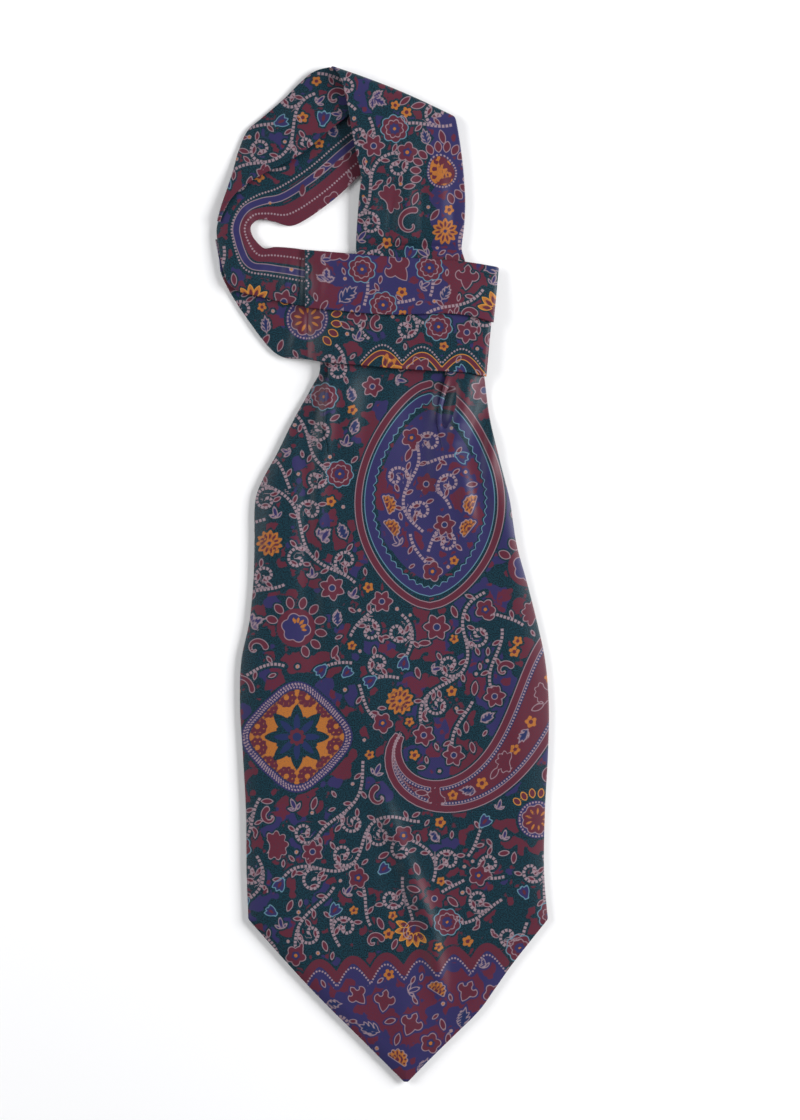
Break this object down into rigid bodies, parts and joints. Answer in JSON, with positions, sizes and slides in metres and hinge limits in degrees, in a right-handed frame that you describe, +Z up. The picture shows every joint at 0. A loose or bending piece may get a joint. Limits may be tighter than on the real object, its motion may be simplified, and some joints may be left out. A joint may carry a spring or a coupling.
{
  "type": "silk cravat laid flat",
  "caption": "Silk ascot-style cravat laid flat: a wide pointed blade with throat pleats, and a pleated neckband looped round and folded across the throat.",
  "frame": {"origin": "on the surface it lies on, under the middle of the outline's box", "axes": "+Y from the blade's point towards the neckband, +X to the right seen from above, +Z up off the surface"},
  "size_m": [0.1677, 0.5121, 0.0096],
  "materials": {
    "printed_silk": "satin printed silk twill, dark teal ground with maroon, purple and gold paisley",
    "silk_back": "satin printed silk twill, the hidden second blade"
  },
  "bodies": {
    "root": {"back_blade": "silk_back", "front_blade": "printed_silk", "neck_rise": "printed_silk", "neck_bend": "printed_silk", "diagonal_pleat": "printed_silk", "crossband_lower": "printed_silk", "crossband_upper": "printed_silk"}
  },
  "joints": []
}
